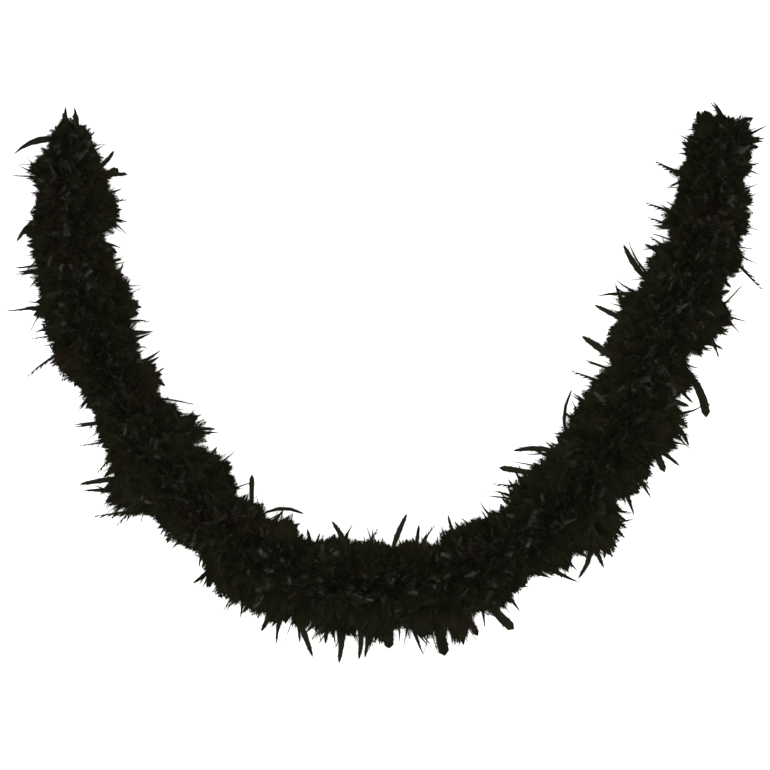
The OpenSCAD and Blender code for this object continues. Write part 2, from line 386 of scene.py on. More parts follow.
def barbs(name, count, slant, tip_width, first, outline, inner=lambda x: 0.0, ragged=0.0):
    """Two combs of barbs, one each side of the rib. slant is how far a barb's tip lies ahead of its
    root, and first is where the lowest starts. The barb at x runs from inner(x) out to outline(x),
    less a share of it, up to ragged, that changes from barb to barb."""
    pitch = (1 - first) / count
    o = start_plane(name)
    bpy.ops.transform.resize(value=(pitch, 1, 1), center_override=(0, 0, 0))
    bpy.ops.transform.translate(value=(first, 0.5, 0))
    pick(o, lambda x, y: y > 0.5)
    bpy.ops.transform.resize(value=(tip_width, 1, 1), center_override=(first + pitch / 2, 0, 0))
    bpy.ops.transform.translate(value=(slant, 0, 0))
    bpy.ops.object.mode_set(mode="OBJECT")
    apply_modifier(
        o, "ARRAY", count=count, use_relative_offset=False, use_constant_offset=True,
        constant_offset_displace=(pitch, 0, 0),
    )
    corners = np.array([v.co for v in o.data.vertices]).reshape(count, 4, 3)
    for i, barb in enumerate(corners):
        at = first + pitch * (i + 0.5)
        reach = outline(at) * (1 - ragged * (i * 3 % 5) / 4)
        out = barb[:, 1] > 0.5
        barb[out, 0] = barb[~out, 0].mean() + (barb[out, 0] - barb[~out, 0].mean()) * reach
        barb[out, 1], barb[~out, 1] = reach, inner(at)
        barb[:, 0] = np.minimum(barb[:, 0], 1.0 + 0.02 * (i % 3))
    o.data.vertices.foreach_set("co", corners.reshape(-1))
    apply_modifier(o, "MIRROR", use_axis=(False, True, False), use_mirror_merge=False)
    return o


def one_sided(o):
    """Leaves only the barbs on one side of the rib."""
    bpy.ops.object.mode_set(mode="EDIT")
    pick(o, lambda x, y: y < 0)
    bpy.ops.mesh.delete(type="VERT")
    bpy.ops.object.mode_set(mode="OBJECT")
    return o


def joined(*parts):
    """The parts as one pattern: its corners, and its faces as lists of corners."""
    corners, faces = [], []
    for o in parts:
        shift = len(corners)
        corners += [tuple(v.co) for v in o.data.vertices]
        faces += [[shift + v for v in p.vertices] for p in o.data.polygons]
        bpy.data.objects.remove(o)
    return np.array(corners), faces


def strip(name, steps, width, notch=0.0):
    """A flat vane as one strip, folded a little along its rib. width(x) is its half width, and
    notch cuts a V into its end, or draws it out where it is below 0."""
    o = start_plane(name)
    bpy.ops.transform.resize(value=(1, 2, 1), center_override=(0, 0, 0))
    bpy.ops.mesh.select_all(action="SELECT")
    bpy.ops.mesh.bisect(plane_co=(0, 0, 0), plane_no=(0, 1, 0))
    for i in range(1, steps):
        bpy.ops.mesh.select_all(action="SELECT")
        bpy.ops.mesh.bisect(plane_co=(i / steps, 0, 0), plane_no=(1, 0, 0))
    bpy.ops.object.mode_set(mode="OBJECT")
    for v in o.data.vertices:
        x, y = v.co.x, v.co.y
        if x > 0.999:
            v.co.x -= notch * (1 - abs(y))
        v.co.y = y * width(x)
        v.co.z = 0.12 * (abs(y) - 0.5) * width(x)
    return o


def bound_quill(name):
    """A bare quill along x: a thin six-sided stem that narrows to its cut end."""
    deselect()
    bpy.ops.mesh.primitive_cylinder_add(
        vertices=6, radius=1, depth=1, rotation=(0, math.pi / 2, 0), location=(0.5, 0, 0)
    )
    o = bpy.context.object
    o.name = name
    bpy.ops.object.transform_apply(location=True, rotation=True)
    bpy.ops.object.mode_set(mode="EDIT")
    pick(o, lambda x, y: x > 0.9)
    bpy.ops.transform.resize(value=(1, 0.5, 0.5), center_override=(1, 0, 0))
    bpy.ops.object.mode_set(mode="OBJECT")
    return o


def make_patterns():
    """Every feather pattern, each modelled once. x runs from root to tip, and y from edge to edge."""
    arch = lambda x, start, power: max(0.06, math.sin(math.pi * min(1, start + (1 - start) * x)) ** power)
    rounded = lambda x: arch(x, 0.25, 0.35)
    oval = lambda x: arch(x, 0.15, 0.6)
    taper = lambda x: (0.45 + 0.9 * x if x < 0.5 else 0.9 * (2 - 2 * x) ** 0.8) + 0.02
    paddle = lambda x: 0.28 + 0.72 * max(0, math.sin(math.pi * (x - 0.4) / 0.66))
    stubby = lambda x: 0.3 + 0.7 * min(1, 1.3 * x)
    return {
        # Broad downy feathers: a closed blade whose edge is a row of small teeth
        "round": joined(
            strip("blade", 6, lambda x: 0.84 * rounded(x), -0.02),
            barbs("teeth", 17, 0.06, 0.2, 0.1, rounded, lambda x: 0.7 * rounded(x), 0.2),
        ),
        "oval": joined(
            strip("blade", 6, lambda x: 0.74 * oval(x), -0.04),
            barbs("teeth", 16, 0.1, 0.16, 0.1, oval, lambda x: 0.55 * oval(x), 0.3),
        ),
        "torn": joined(
            strip("blade", 5, lambda x: 0.5 * oval(x), -0.04),
            barbs("teeth", 14, 0.18, 0.15, 0.1, oval, lambda x: 0.35 * oval(x), 0.45),
        ),
        # Ragged feather: slanting clumps of barbs with gaps between their tips
        "ragged": joined(rachis("rib", 0.05, 4), barbs("barb", 11, 0.24, 0.35, 0.08, oval)),
        # Down: fine barbs standing well apart on a thin rib
        "down": joined(
            rachis("rib", 0.03, 3), barbs("barb", 11, 0.12, 0.18, 0.05, lambda x: 1.05 - 0.6 * x)
        ),
        # Flat tips: drawn out to a point, blunt on a narrow stem, split, and frayed down one side
        "spike": joined(
            strip("vane", 6, lambda x: 0.8 * taper(x), -0.03),
            one_sided(barbs("nick", 9, 0.1, 0.25, 0.3, taper, lambda x: 0.5 * taper(x), 0.35)),
        ),
        "blunt": joined(
            strip("vane", 6, lambda x: 0.75 * paddle(x), -0.05),
            barbs("nick", 12, 0.08, 0.3, 0.35, paddle, lambda x: 0.6 * paddle(x), 0.45),
        ),
        "square": joined(
            strip("vane", 6, lambda x: 0.8 * stubby(x), -0.07),
            barbs("nick", 13, 0.08, 0.3, 0.2, stubby, lambda x: 0.4 * stubby(x), 0.35),
        ),
        "split": joined(
            strip("vane", 6, lambda x: 0.8 * paddle(x), 0.2),
            one_sided(barbs("nick", 9, 0.1, 0.25, 0.4, paddle, lambda x: 0.6 * paddle(x), 0.4)),
        ),
        "frayed": joined(
            strip("vane", 6, lambda x: 0.55 * taper(x)),
            one_sided(
                barbs("fray", 9, 0.1, 0.2, 0.35, lambda x: 1.3 - 0.5 * x, lambda x: 0.2 * taper(x), 0.5)
            ),
        ),
        # A single loose barb, and the bare end of a feather that the thread binds
        "hair": joined(rachis("rib", 1.0, 4)),
        "quill": joined(bound_quill("quill")),
    }


class Planted:
    """Gathers bent copies of feather patterns into one mesh."""

    def __init__(self, patterns):
        self.patterns = patterns
        self.corners, self.loops, self.sizes, self.uv, self.tone_and_highlight = [], [], [], [], []
        self.count = 0

    def add(self, pattern, root, aim, across, length, half_width, curl, sweep, tone_and_highlight, floor):
        """Plants a copy at each root. aim and across are its first direction and its width's
        direction, curl bends it out of its own plane and sweep within it, both in radians."""
        shape, faces = self.patterns[pattern]
        n = len(root)
        aim = unit(aim)
        across = unit(across - (across * aim).sum(1, keepdims=True) * aim)
        normal = np.cross(aim, across)
        # A drawn-out tip reaches a little past x 1, so the bent line goes on beyond it
        steps, past_tip = 10, 1.3
        u = np.linspace(0, past_tip, steps + 1)
        bend_a, bend_b = curl[:, None] * u**BEND_POWER, sweep[:, None] * u**BEND_POWER
        ca, sa, cb, sb = (f(b)[..., None] for b in (bend_a, bend_b) for f in (np.cos, np.sin))
        heading = aim[:, None] * ca * cb + across[:, None] * sb + normal[:, None] * sa * cb
        side = across[:, None] * cb - aim[:, None] * sb
        side -= (side * heading).sum(2, keepdims=True) * heading
        side /= np.linalg.norm(side, axis=2, keepdims=True)
        face = np.cross(heading, side)
        runs = np.cumsum((heading[:, 1:] + heading[:, :-1]) / 2 * (u[1] - u[0]), axis=1)
        middle = np.concatenate([np.zeros((n, 1, 3)), runs], axis=1)
        middle = root[:, None] + middle * length[:, None, None]
        at = np.clip(shape[:, 0] / u[1], 0, steps - 1e-6)
        i, f = np.floor(at).astype(int), (at % 1)[None, :, None]
        pick_at = lambda a: a[:, i] * (1 - f) + a[:, i + 1] * f
        wide = half_width[:, None, None]
        points = pick_at(middle) + pick_at(side) * wide * shape[None, :, 1:2]
        points = points + pick_at(face) * wide * shape[None, :, 2:3]
        # A feather that would reach below its floor eases down to it over this height
        soft = 0.006
        over = (points[..., 2] - floor[:, None]) / soft
        points[..., 2] = floor[:, None] + soft * np.logaddexp(0, over)
        self.corners.append(points.reshape(-1, 3))
        flat = np.array([v for f in faces for v in f])
        offsets = self.count + np.arange(n) * len(shape)
        self.loops.append((flat[None] + offsets[:, None]).reshape(-1))
        self.sizes.append(np.tile([len(f) for f in faces], n))
        uv = np.stack([shape[:, 0], -np.abs(shape[:, 1])], axis=1)
        # One unit of the vane's own coordinates is 50 mm
        uv = uv[None] * np.stack([length, half_width], axis=1)[:, None] * 20
        self.uv.append(uv[:, flat].reshape(-1, 2))
        self.tone_and_highlight.append(np.repeat(tone_and_highlight, len(shape)))
        self.count += n * len(shape)

    def build(self, name, material):
        corners, loops = np.concatenate(self.corners), np.concatenate(self.loops)
        sizes = np.concatenate(self.sizes)
        mesh = bpy.data.meshes.new(name)
        mesh.vertices.add(len(corners))
        mesh.vertices.foreach_set("co", corners.astype(np.float32).ravel())
        mesh.loops.add(len(loops))
        mesh.loops.foreach_set("vertex_index", loops.astype(np.int32))
        mesh.polygons.add(len(sizes))
        mesh.polygons.foreach_set("loop_start", (np.cumsum(sizes) - sizes).astype(np.int32))
        uv = np.concatenate(self.uv).astype(np.float32).ravel()
        mesh.uv_layers.new(name="feather").data.foreach_set("uv", uv)
        tone_and_highlight = np.concatenate(self.tone_and_highlight).astype(np.float32)
        mesh.attributes.new("tone_and_highlight", "FLOAT", "POINT").data.foreach_set("value", tone_and_highlight)
        mesh.update(calc_edges=True)
        mesh.validate()
        mesh.materials.append(material)
        o = bpy.data.objects.new(name, mesh)
        bpy.context.scene.collection.objects.link(o)
        return o


# ---------------------------------------------------------------- laid cords


def laid_cord(name, length, strands, strand_r, spread, pitch, steps=9, wound=False):
    """A straight length of twisted strands along x, closed at both ends. spread is how far the
    middle of a strand lies from the cord's middle, and steps is how many rings a turn has. A
    thread that is wound round something runs across x, and not along it."""
    deselect()
    tilt = 0 if wound else math.pi / 2
    bpy.ops.mesh.primitive_circle_add(
        vertices=6, radius=strand_r, rotation=(0, tilt, 0), location=(0, spread, 0)
    )
    o = bpy.context.object
    o.name = name
    bpy.ops.object.transform_apply(location=True, rotation=True)
    bpy.ops.object.mode_set(mode="EDIT")
    bpy.ops.mesh.select_all(action="SELECT")
    for _ in range(strands - 1):
        bpy.ops.mesh.duplicate()
        bpy.ops.transform.rotate(value=2 * math.pi / strands, orient_axis="X", center_override=(0, 0, 0))
    bpy.ops.object.mode_set(mode="OBJECT")
    turns = length / pitch
    rings = max(4, round(steps * turns))
    apply_modifier(
        o, "SCREW", axis="X", angle=2 * math.pi * turns, screw_offset=length,
        steps=rings, render_steps=rings,
    )
    bpy.ops.object.mode_set(mode="EDIT")
    bpy.ops.mesh.select_all(action="SELECT")
    bpy.ops.mesh.fill_holes(sides=0)
    bpy.ops.mesh.normals_make_consistent(inside=False)
    bpy.ops.object.mode_set(mode="OBJECT")
    bpy.ops.object.shade_smooth_by_angle(angle=math.radians(50))
    return o


def copied(pattern, name):
    """A copy of a pattern with its own mesh."""
    o = pattern.copy()
    o.data = pattern.data.copy()
    o.name = o.data.name = name
    bpy.context.scene.collection.objects.link(o)
    return o


def bend_along(o, path, length, start=0.0):
    """Bends a piece that is modelled straight along x, from x 0 to length, so that it lies along
    the path's points. start is where on the path x 0 comes, and the piece is not stretched if it
    is given."""
    path = np.asarray(path, float)
    run = np.concatenate([[0], np.cumsum(np.linalg.norm(np.diff(path, axis=0), axis=1))])
    heading = unit(np.gradient(path, axis=0))
    sides = [unit(np.cross(UP, heading[:1]))[0]]
    for h in heading[1:]:
        across = sides[-1] - (sides[-1] @ h) * h
        sides.append(across / np.linalg.norm(across))
    sides = np.array(sides)
    ups = np.cross(heading, sides)
    corners = np.array([v.co for v in o.data.vertices])
    s = corners[:, 0] + start if start else corners[:, 0] * run[-1] / length
    at = lambda a: np.stack([np.interp(s, run, a[:, k]) for k in range(3)], axis=1)
    beyond = (s - np.clip(s, 0, run[-1]))[:, None]
    places = at(path) + at(heading) * beyond + at(sides) * corners[:, 1:2] + at(ups) * corners[:, 2:3]
    o.data.vertices.foreach_set("co", places.astype(np.float32).ravel())
    o.data.update()


# ---------------------------------------------------------------- places along the boa


def follow(o, t):
    """Makes a piece at t on the line move with its link when it lies in the middle fifth of its link, or
    has no link on its other side. Any other piece is left unattached, with its placing baked into its mesh."""
    link = min(int(t), len(LINKS) - 1)
    share = t - link
    other = link - 1 if share < 0.4 else link + 1 if share > 0.6 else link
    if other == link or not 0 <= other < len(LINKS):
        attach(o, LINKS[link])
        return
    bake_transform(o)


def edge(t, angle, height, half=0.0):
    """How far out the feathers reach at t, in a direction round the cord. Angle 0 is the U's outer
    side, and a quarter turn is up. It is the least that is found over half a feather's width, which
    is given in links."""
    def side(points):
        at, reach = np.array(points).T
        return np.min([np.interp(t + half * k, at, reach) for k in (-1, -0.5, 0, 0.5, 1)], axis=0) / 1000

    flat = np.where(np.cos(angle) > 0, side(OUTER_EDGE), side(INNER_EDGE))
    return 1 / np.sqrt((np.cos(angle) / flat) ** 2 + (np.sin(angle) / height) ** 2)


def fitted(t, aim, angle, height, width=0.0):
    """The length at which feathers of this width, aimed from t, just reach the edge of the mass, or
    stop where the down should past the cord's ends."""
    ahead = (aim * line(t)[1]).sum(1)
    out = np.sqrt(np.maximum(1 - ahead**2, 0.3))
    reach = edge(t, angle, height)
    for _ in range(2):
        tip = t + reach * ahead / LINK_LENGTH
        reach = edge(tip, angle, height, width / 2 / LINK_LENGTH) / out
    return room(t, aim, reach)


def room(t, aim, reach):
    """The reach along aim from t, cut so that the down stops where it should past the cord's ends."""
    for end, along, beyond in zip((0.0, float(len(LINKS))), (-1, 1), END_REACH):
        past = along * (aim * line([end])[1]).sum(1)
        left = beyond + np.abs(t - end) * LINK_LENGTH
        reach = np.where(past > 0.05, np.minimum(reach, left / np.maximum(past, 0.05)), reach)
    return reach


def around(t, angle):
    """Places on the cord at t, the directions along it, and those out from it at an angle round it."""
    place, along = line(t)
    outward = np.stack([along[:, 1], -along[:, 0], np.zeros(len(t))], axis=1)
    return place, along, outward * np.cos(angle)[:, None] + UP * np.sin(angle)[:, None]


# ---------------------------------------------------------------- settings


def size(label, text, default):
    return bpy.props.FloatProperty(
        name=label, description=text, default=default, unit="LENGTH", precision=4
    )


def count(label, text, default):
    return bpy.props.IntProperty(name=label, description=text, default=default, min=1)


def colour(label, text, default):
    return bpy.props.StringProperty(name=label, description=text + ", as sRGB hex", default=default)


class BoaCord(bpy.types.PropertyGroup):
    diameter: size("Cord diameter", "Diameter of the three-strand cord", 0.005)
    lay: size("Lay length", "Length of one turn of the cord's strands", 0.017)
    thread: size("Thread thickness", "Thickness of the binding thread", 0.0009)
    wrap: size("Wrap spacing", "From one wrap of the thread to the next", 0.00093)
    binding_r: size("Binding radius", "From the cord's middle to the middle of the thread's wraps", 0.00465)
    loop_strand: size("Loop thickness", "Thickness of the loop and of the knot's tails", 0.003)
    dark: colour("Cord, dark", "Dark colour of the cotton cord", "#0d0c0a")
    light: colour("Cord, light", "Colour of the cord's loose fibres", "#26241f")
    thread_dark: colour("Thread, dark", "Dark colour of the binding thread", "#0a0a09")
    thread_light: colour("Thread, light", "Colour of the thread's fibres", "#1e1d1a")


class BoaFeathers(bpy.types.PropertyGroup):
    plumes: count("Body feathers", "Broad downy feathers in a tuft", 66)
    ragged: count("Ragged feathers", "Feathers in a tuft whose barbs have parted", 24)
    downs: count("Down", "Sprays of down in a tuft", 360)
    tips: count("Flat tips", "Long flat feathers in a tuft", 36)
    hairs: count("Loose barbs", "Single barbs in a tuft", 80)
    quills: count("Quills", "Feather ends bound round the cord in a tuft", 16)
    height: size("Height", "Reach of the feathers above the cord", 0.058)
    rim: count("Rim feathers", "Flat-lying feathers at each side of a tuft", 34)
    rim_width: size("Rim feather width", "Width of the broadest feathers at the mass's edge", 0.026)
    plume_width: size("Body feather width", "Width of a broad downy feather", 0.032)
    tip_width: size("Tip width", "Width of a long flat feather", 0.0075)
    dark: colour("Darkest", "Colour of the deepest dye", "#050503")
    middle: colour("Main", "Colour of the flat vanes", "#111109")
    # The grey and palest stops are partly the down's own softer colour and partly a painted highlight along
    # the top, where most of the down lies
    grey: colour("Grey", "Colour of the softer down", "#1a1914")
    pale: colour("Palest", "Colour of the palest down", "#363530")
    red: colour("Reddish", "Colour where the dye has turned", "#190f0b")
    seed: bpy.props.IntProperty(name="Seed", description="Seed of the feathers' places", default=11)


class BoaStage(bpy.types.PropertyGroup):
    centre_x: size("Aim X", "Where the camera aims", -0.0146)
    centre_y: size("Aim Y", "Where the camera aims", -0.0091)
    width: size("View width", "Width seen at the cord's height", 1.101)
    floor: colour("Floor", "Colour of the floor", "#f7f7f5")


# ---------------------------------------------------------------- operators


class BOA_OT_camera(bpy.types.Operator):
    """Adds the camera, straight above the boa"""

    bl_idname = "boa.camera"
    bl_label = "Camera"

    def execute(self, context):
        stage = context.scene.boa_stage
        camera = bpy.data.cameras.new("camera")
        camera.lens = 85
        distance = stage.width / 2 / (camera.sensor_width / 2 / camera.lens)
        o = bpy.data.objects.new("camera", camera)
        o.location = (stage.centre_x, stage.centre_y, ROUTE[0][2] + distance)
        context.scene.collection.objects.link(o)
        context.scene.camera = o
        return {"FINISHED"}


class BOA_OT_cord(bpy.types.Operator):
    """Lays the three-strand cord in spans, each from the middle of one link to the next"""

    bl_idname = "boa.cord"
    bl_label = "Cord"

    def execute(self, context):
        sizes = context.scene.boa_cord
        # Three round strands that touch each other and fill the cord's diameter
        strand_r = sizes.diameter / 2 / (1 + 2 / math.sqrt(3))
        cotton = cotton_finish("twisted_cotton_cord", sizes.dark, sizes.light, 0.6, 0.9)
        spread = sizes.diameter / 2 - strand_r
        pattern = laid_cord("span", LINK_LENGTH, 3, strand_r, spread, sizes.lay)
        half = laid_cord("half_span", LINK_LENGTH / 2, 3, strand_r, spread, sizes.lay)
        last = len(LINKS)
        for i in range(last + 1):
            start, end = max(0, i - 0.5), min(last, i + 0.5)
            whole = 0 < i < last
            path = line(np.linspace(start, end, 25))[0]
            o = copied(pattern if whole else half, f"cord_{i + 1:02d}")
            length = LINK_LENGTH * (1 if whole else 0.5)
            bend_along(o, path, length)
            o.data.materials.append(cotton)
            # A whole span has a bend in its middle, and is left unattached to either link; a half span at
            # an end moves with its link
            follow(o, min(i + 0.1, last - 0.1))
            if i < last:
                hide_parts(f"core_{i + 1:02d}")
        for o in (pattern, half):
            bpy.data.objects.remove(o)
        return {"FINISHED"}


class BOA_OT_binding(bpy.types.Operator):
    """Winds the thread round the quills of every tuft, in two bands"""

    bl_idname = "boa.binding"
    bl_label = "Binding thread"

    def execute(self, context):
        sizes = context.scene.boa_cord
        thread = cotton_finish("waxed_binding_thread", sizes.thread_dark, sizes.thread_light, 0.3, 0.7)
        # Three wraps that lie side by side
        width = 3 * sizes.wrap
        band = laid_cord(
            "band", width, 1, sizes.thread / 2, sizes.binding_r, sizes.wrap, steps=14, wound=True
        )
        # The two bands stand this far each side of the tuft's middle
        apart = 0.008
        # The stretch of the cord's line that the bands are laid along, in links each way
        reach = 0.12
        for k in range(len(TUFTS)):
            middle = (k + 0.5) / TUFTS_PER_LINK
            path = line(np.linspace(middle - reach, middle + reach, 9))[0]
            bands = []
            for side in (-1, 1):
                o = copied(band, f"binding_{k + 1:02d}_{side}")
                bend_along(o, path, LINK_LENGTH, start=reach * LINK_LENGTH + side * apart - width / 2)
                bands.append(o)
            deselect()
            for o in bands:
                o.select_set(True)
            bpy.context.view_layer.objects.active = bands[0]
            bpy.ops.object.join()
            o = bands[0]
            o.name = o.data.name = f"binding_{k + 1:02d}"
            o.data.materials.append(thread)
            follow(o, middle)
            if k % TUFTS_PER_LINK == TUFTS_PER_LINK // 2:
                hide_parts(f"thread_{k // TUFTS_PER_LINK + 1:02d}")
        bpy.data.objects.remove(band)
        return {"FINISHED"}


class BOA_OT_loop(bpy.types.Operator):
    """Folds the hanging loop at the cord's first end"""

    bl_idname = "boa.loop"
    bl_label = "Hanging loop"

    def execute(self, context):
        sizes = context.scene.boa_cord
        cotton = cotton_finish("looped_cotton_cord", sizes.dark, sizes.light, 0.5, 0.9)
        place, along = (v[0] for v in line([0.0]))
        across = np.cross(UP, along)
        half = sizes.loop_strand / 2
        loop_length = 0.066
        # Out from the cord's end on one side, round the tip, and back on the other: metres along
        # the cord, and millimetres across it
        outline = [
            (0.004, 1.6), (-0.001, 1.8), (-0.006, 3.0), (-0.012, 4.2), (-0.018, 4.4), (-0.0225, 3.4),
            (-0.0255, 1.4), (-0.0262, 0.0),
        ]
        outline += [(x, -y) for x, y in reversed(outline[:-1])]
        points = np.array([place + along * x + across * y / 1000 for x, y in outline])
        steps = np.linspace(0, len(points) - 1, 43)
        path = np.stack([np.interp(steps, np.arange(len(points)), points[:, k]) for k in range(3)], axis=1)
        for _ in range(3):
            path[1:-1] = (path[:-2] + 2 * path[1:-1] + path[2:]) / 4
        o = laid_cord("end_loop_cord", loop_length, 2, half / 2, half / 2, 0.008)
        bend_along(o, path, loop_length)
        o.data.materials.append(cotton)
        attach(o, LINKS[0])
        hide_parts("end_loop")
        # The thread that holds the loop's two ends against the cord
        whipping = laid_cord(
            "loop_whipping", 0.005, 1, sizes.thread / 2, 0.0036, sizes.wrap, steps=14, wound=True
        )
        bend_along(whipping, line(np.linspace(0, 0.1, 5))[0], LINK_LENGTH, start=0.0008)
        whipping.data.materials.append(bpy.data.materials["waxed_binding_thread"])
        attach(whipping, LINKS[0])
        return {"FINISHED"}


class BOA_OT_knot(bpy.types.Operator):
    """Ties the knot at the cord's last end, with its two cut tails"""

    bl_idname = "boa.knot"
    bl_label = "End knot"

    def execute(self, context):
        sizes = context.scene.boa_cord
        cotton = cotton_finish("knotted_cotton_cord", sizes.dark, sizes.light, 0.5, 0.9)
        place, along = (v[0] for v in line([float(len(LINKS))]))
        across = np.cross(UP, along)
        half = sizes.loop_strand / 2
        middle = place + along * 0.0045
        knot_length, tail_length, lay = 0.075, 0.02, 0.007
        # One turn of a trefoil makes the knot's ball, and its lobes reach three times this far
        lobe = 0.00128
        turn = np.linspace(0.3, 2 * math.pi + 0.1, 60)
        forward = np.sin(turn) + 2 * np.sin(2 * turn)
        aside = np.cos(turn) - 2 * np.cos(2 * turn)
        ball = np.stack([forward, aside, -1.3 * np.sin(3 * turn)], axis=1) * lobe
        ball = middle + ball[:, :1] * along + ball[:, 1:2] * across + ball[:, 2:] * UP
        knot = laid_cord("end_knot_cord", knot_length, 2, half * 0.54, half * 0.5, lay)
        bend_along(knot, ball, knot_length)
        knot.data.materials.append(cotton)
        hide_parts("end_knot")
        pieces = [knot]
        for side, name in ((-1, "knot_tail_a"), (1, "knot_tail_b")):
            steps = np.linspace(0, 1, 14)[:, None]
            # The two tails part as they leave the knot, and hang down a little
            parting = 0.001 + 0.0055 * steps**1.4
            path = middle + along * 0.0195 * steps + across * side * parting - UP * 0.004 * steps**2
            tail = laid_cord(name, tail_length, 2, half / 2, half / 2, lay)
            bend_along(tail, path, tail_length)
            tail.data.materials.append(cotton)
            pieces.append(tail)
        for o in pieces:
            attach(o, LINKS[-1])
        return {"FINISHED"}


class BOA_OT_feathers(bpy.types.Operator):
    """Plants the tufts of feathers along the cord"""

    bl_idname = "boa.feathers"
    bl_label = "Feathers"

    def execute(self, context):
        sizes = context.scene.boa_feathers
        patterns = make_patterns()
        # From the darkest dye to the palest grey; the down's grey and pale end is partly a painted
        # highlight
        colours = [sizes.dark, sizes.middle, sizes.middle, sizes.grey, sizes.pale]
        fluff = feather_finish("dyed_downy_feather_painted_highlight", colours, sizes.red, 1.2, 0.85, 0.01, 0.02)
        flat = feather_finish("dyed_flat_feather", colours, sizes.red, 1.2, 0.65, 0.025, 0.01)
        for k, node in enumerate(TUFTS):
            rng = np.random.default_rng(sizes.seed + k)
            middle = (k + 0.5) / TUFTS_PER_LINK
            body = self.body(rng, patterns, sizes, middle).build(f"{node}_down", fluff)
            tips = self.tips(rng, patterns, sizes, middle).build(f"{node}_tips", flat)
            for o in (body, tips):
                follow(o, middle)
            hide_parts(node)
        return {"FINISHED"}

    def places(self, rng, n, middle):
        """Places for n feathers of the tuft at middle, and their angles round the cord."""
        half = 0.5 / TUFTS_PER_LINK
        t = middle + rng.uniform(-half, half, n)
        return np.clip(t, 0.005, len(LINKS) - 0.005), rng.uniform(0, 2 * math.pi, n)

    def leaning(self, rng, t, outward, along, spread):
        """Directions out from the cord with a random lean along it. Close to the cord's ends the
        feathers fan out past them."""
        fan, near = 0.9, 0.3
        past = np.clip(1 - t / near, 0, 1) * -fan + np.clip(1 - (len(LINKS) - t) / near, 0, 1) * fan
        lean = (rng.normal(0, spread, len(t)) + past)[:, None]
        return outward * np.cos(lean) + along * np.sin(lean)

    def body(self, rng, patterns, sizes, middle):
        """The tuft's downy feathers, its down and its bound quills."""
        made = Planted(patterns)
        kinds = (("round", sizes.plumes * 0.4), ("oval", sizes.plumes * 0.4), ("torn", sizes.plumes * 0.2),
                 ("ragged", sizes.ragged))
        for name, n in kinds:
            n = int(n)
            t, angle = self.places(rng, n, middle)
            place, along, outward = around(t, angle)
            aim = self.leaning(rng, t, outward, along, 0.38)
            roll = rng.normal(0, 0.6, n)[:, None]
            across = along * np.cos(roll) + np.cross(outward, along) * np.sin(roll)
            width = sizes.plume_width * rng.uniform(0.6, 1.1, n)
            reach = fitted(t, aim, angle, sizes.height, width * 0.6) * rng.uniform(0.86, 1.02, n)
            made.add(
                name, place + outward * ROOT, aim, across, reach,
                width / 2, rng.normal(0, 0.35, n), rng.normal(0, 0.22, n),
                rng.uniform(0.1, 0.5, n), rng.uniform(0.001, 0.006, n),
            )
        # Down, more of it on top than elsewhere. Its tones run paler than the other feathers', so its grey
        # is partly its own colour and partly a painted highlight along the top.
        n = sizes.downs
        t, _ = self.places(rng, n, middle)
        on_top, top = rng.uniform(0, 1, n) < 0.6, rng.normal(math.pi / 2, 0.6, n)
        angle = np.where(on_top, top, rng.uniform(0, 2 * math.pi, n))
        place, along, outward = around(t, angle)
        limit = edge(t, angle, sizes.height)
        depth = limit * rng.uniform(0.1, 0.75, n)
        aim = self.leaning(rng, t, outward, along, 0.8) + rng.normal(0, 0.25, (n, 3))
        length = np.minimum(rng.uniform(0.018, 0.032, n), limit - depth + 0.006)
        made.add(
            "down", place + outward * depth[:, None], aim, rng.normal(0, 1, (n, 3)), length,
            rng.uniform(0.004, 0.008, n), rng.normal(0, 0.8, n), rng.normal(0, 0.5, n),
            rng.uniform(0.15, 0.85, n), rng.uniform(0.001, 0.006, n),
        )
        self.rim(rng, made, sizes, middle)
        # Bare quills, side by side round the cord under the thread
        n = sizes.quills
        angle = np.arange(n) * 2 * math.pi / n
        t = np.full(n, middle) - 0.06
        place, along, outward = around(t, angle)
        made.add(
            "quill", place + outward * 0.0034, along, outward, rng.uniform(0.017, 0.021, n),
            np.full(n, 0.0006), np.zeros(n), np.zeros(n), rng.uniform(0.1, 0.5, n), np.zeros(n),
        )
        return made

    def rim(self, rng, made, sizes, middle):
        """Feathers that lie flat and fill the mass out to its edge on both sides, so that it shows
        from above with its lobes and notches. The narrower ones come closer to the edge."""
        kinds = (("round", 0.25, 1.0), ("oval", 0.3, 0.8), ("torn", 0.25, 0.6), ("ragged", 0.2, 0.7))
        for name, share, widest in kinds:
            n = int(sizes.rim * share)
            for side in (0.0, math.pi):
                t, _ = self.places(rng, n, middle)
                angle = side + rng.normal(0, 0.22, n)
                place, along, outward = around(t, angle)
                aim = self.leaning(rng, t, outward, along, 0.25)
                width = sizes.rim_width * widest * rng.uniform(0.6, 1.1, n)
                across = along + UP * rng.normal(0, 0.3, (n, 1))
                made.add(
                    name, place + outward * ROOT, aim, across,
                    fitted(t, aim, angle, sizes.height, width * 0.4) * rng.uniform(0.88, 1.06, n),
                    width / 2, rng.normal(0, 0.12, n), rng.normal(0, 0.14, n),
                    rng.uniform(0.1, 0.45, n), np.full(n, 0.003),
                )

    def single(self, rng, made, root_t, tip, curve, width, shape):
        """One flat feather from the cord at root_t to tip. curve is how far it turns, in radians,
        anticlockwise from above."""
        place, _, _ = around(np.array([root_t]), np.array([0.0]))
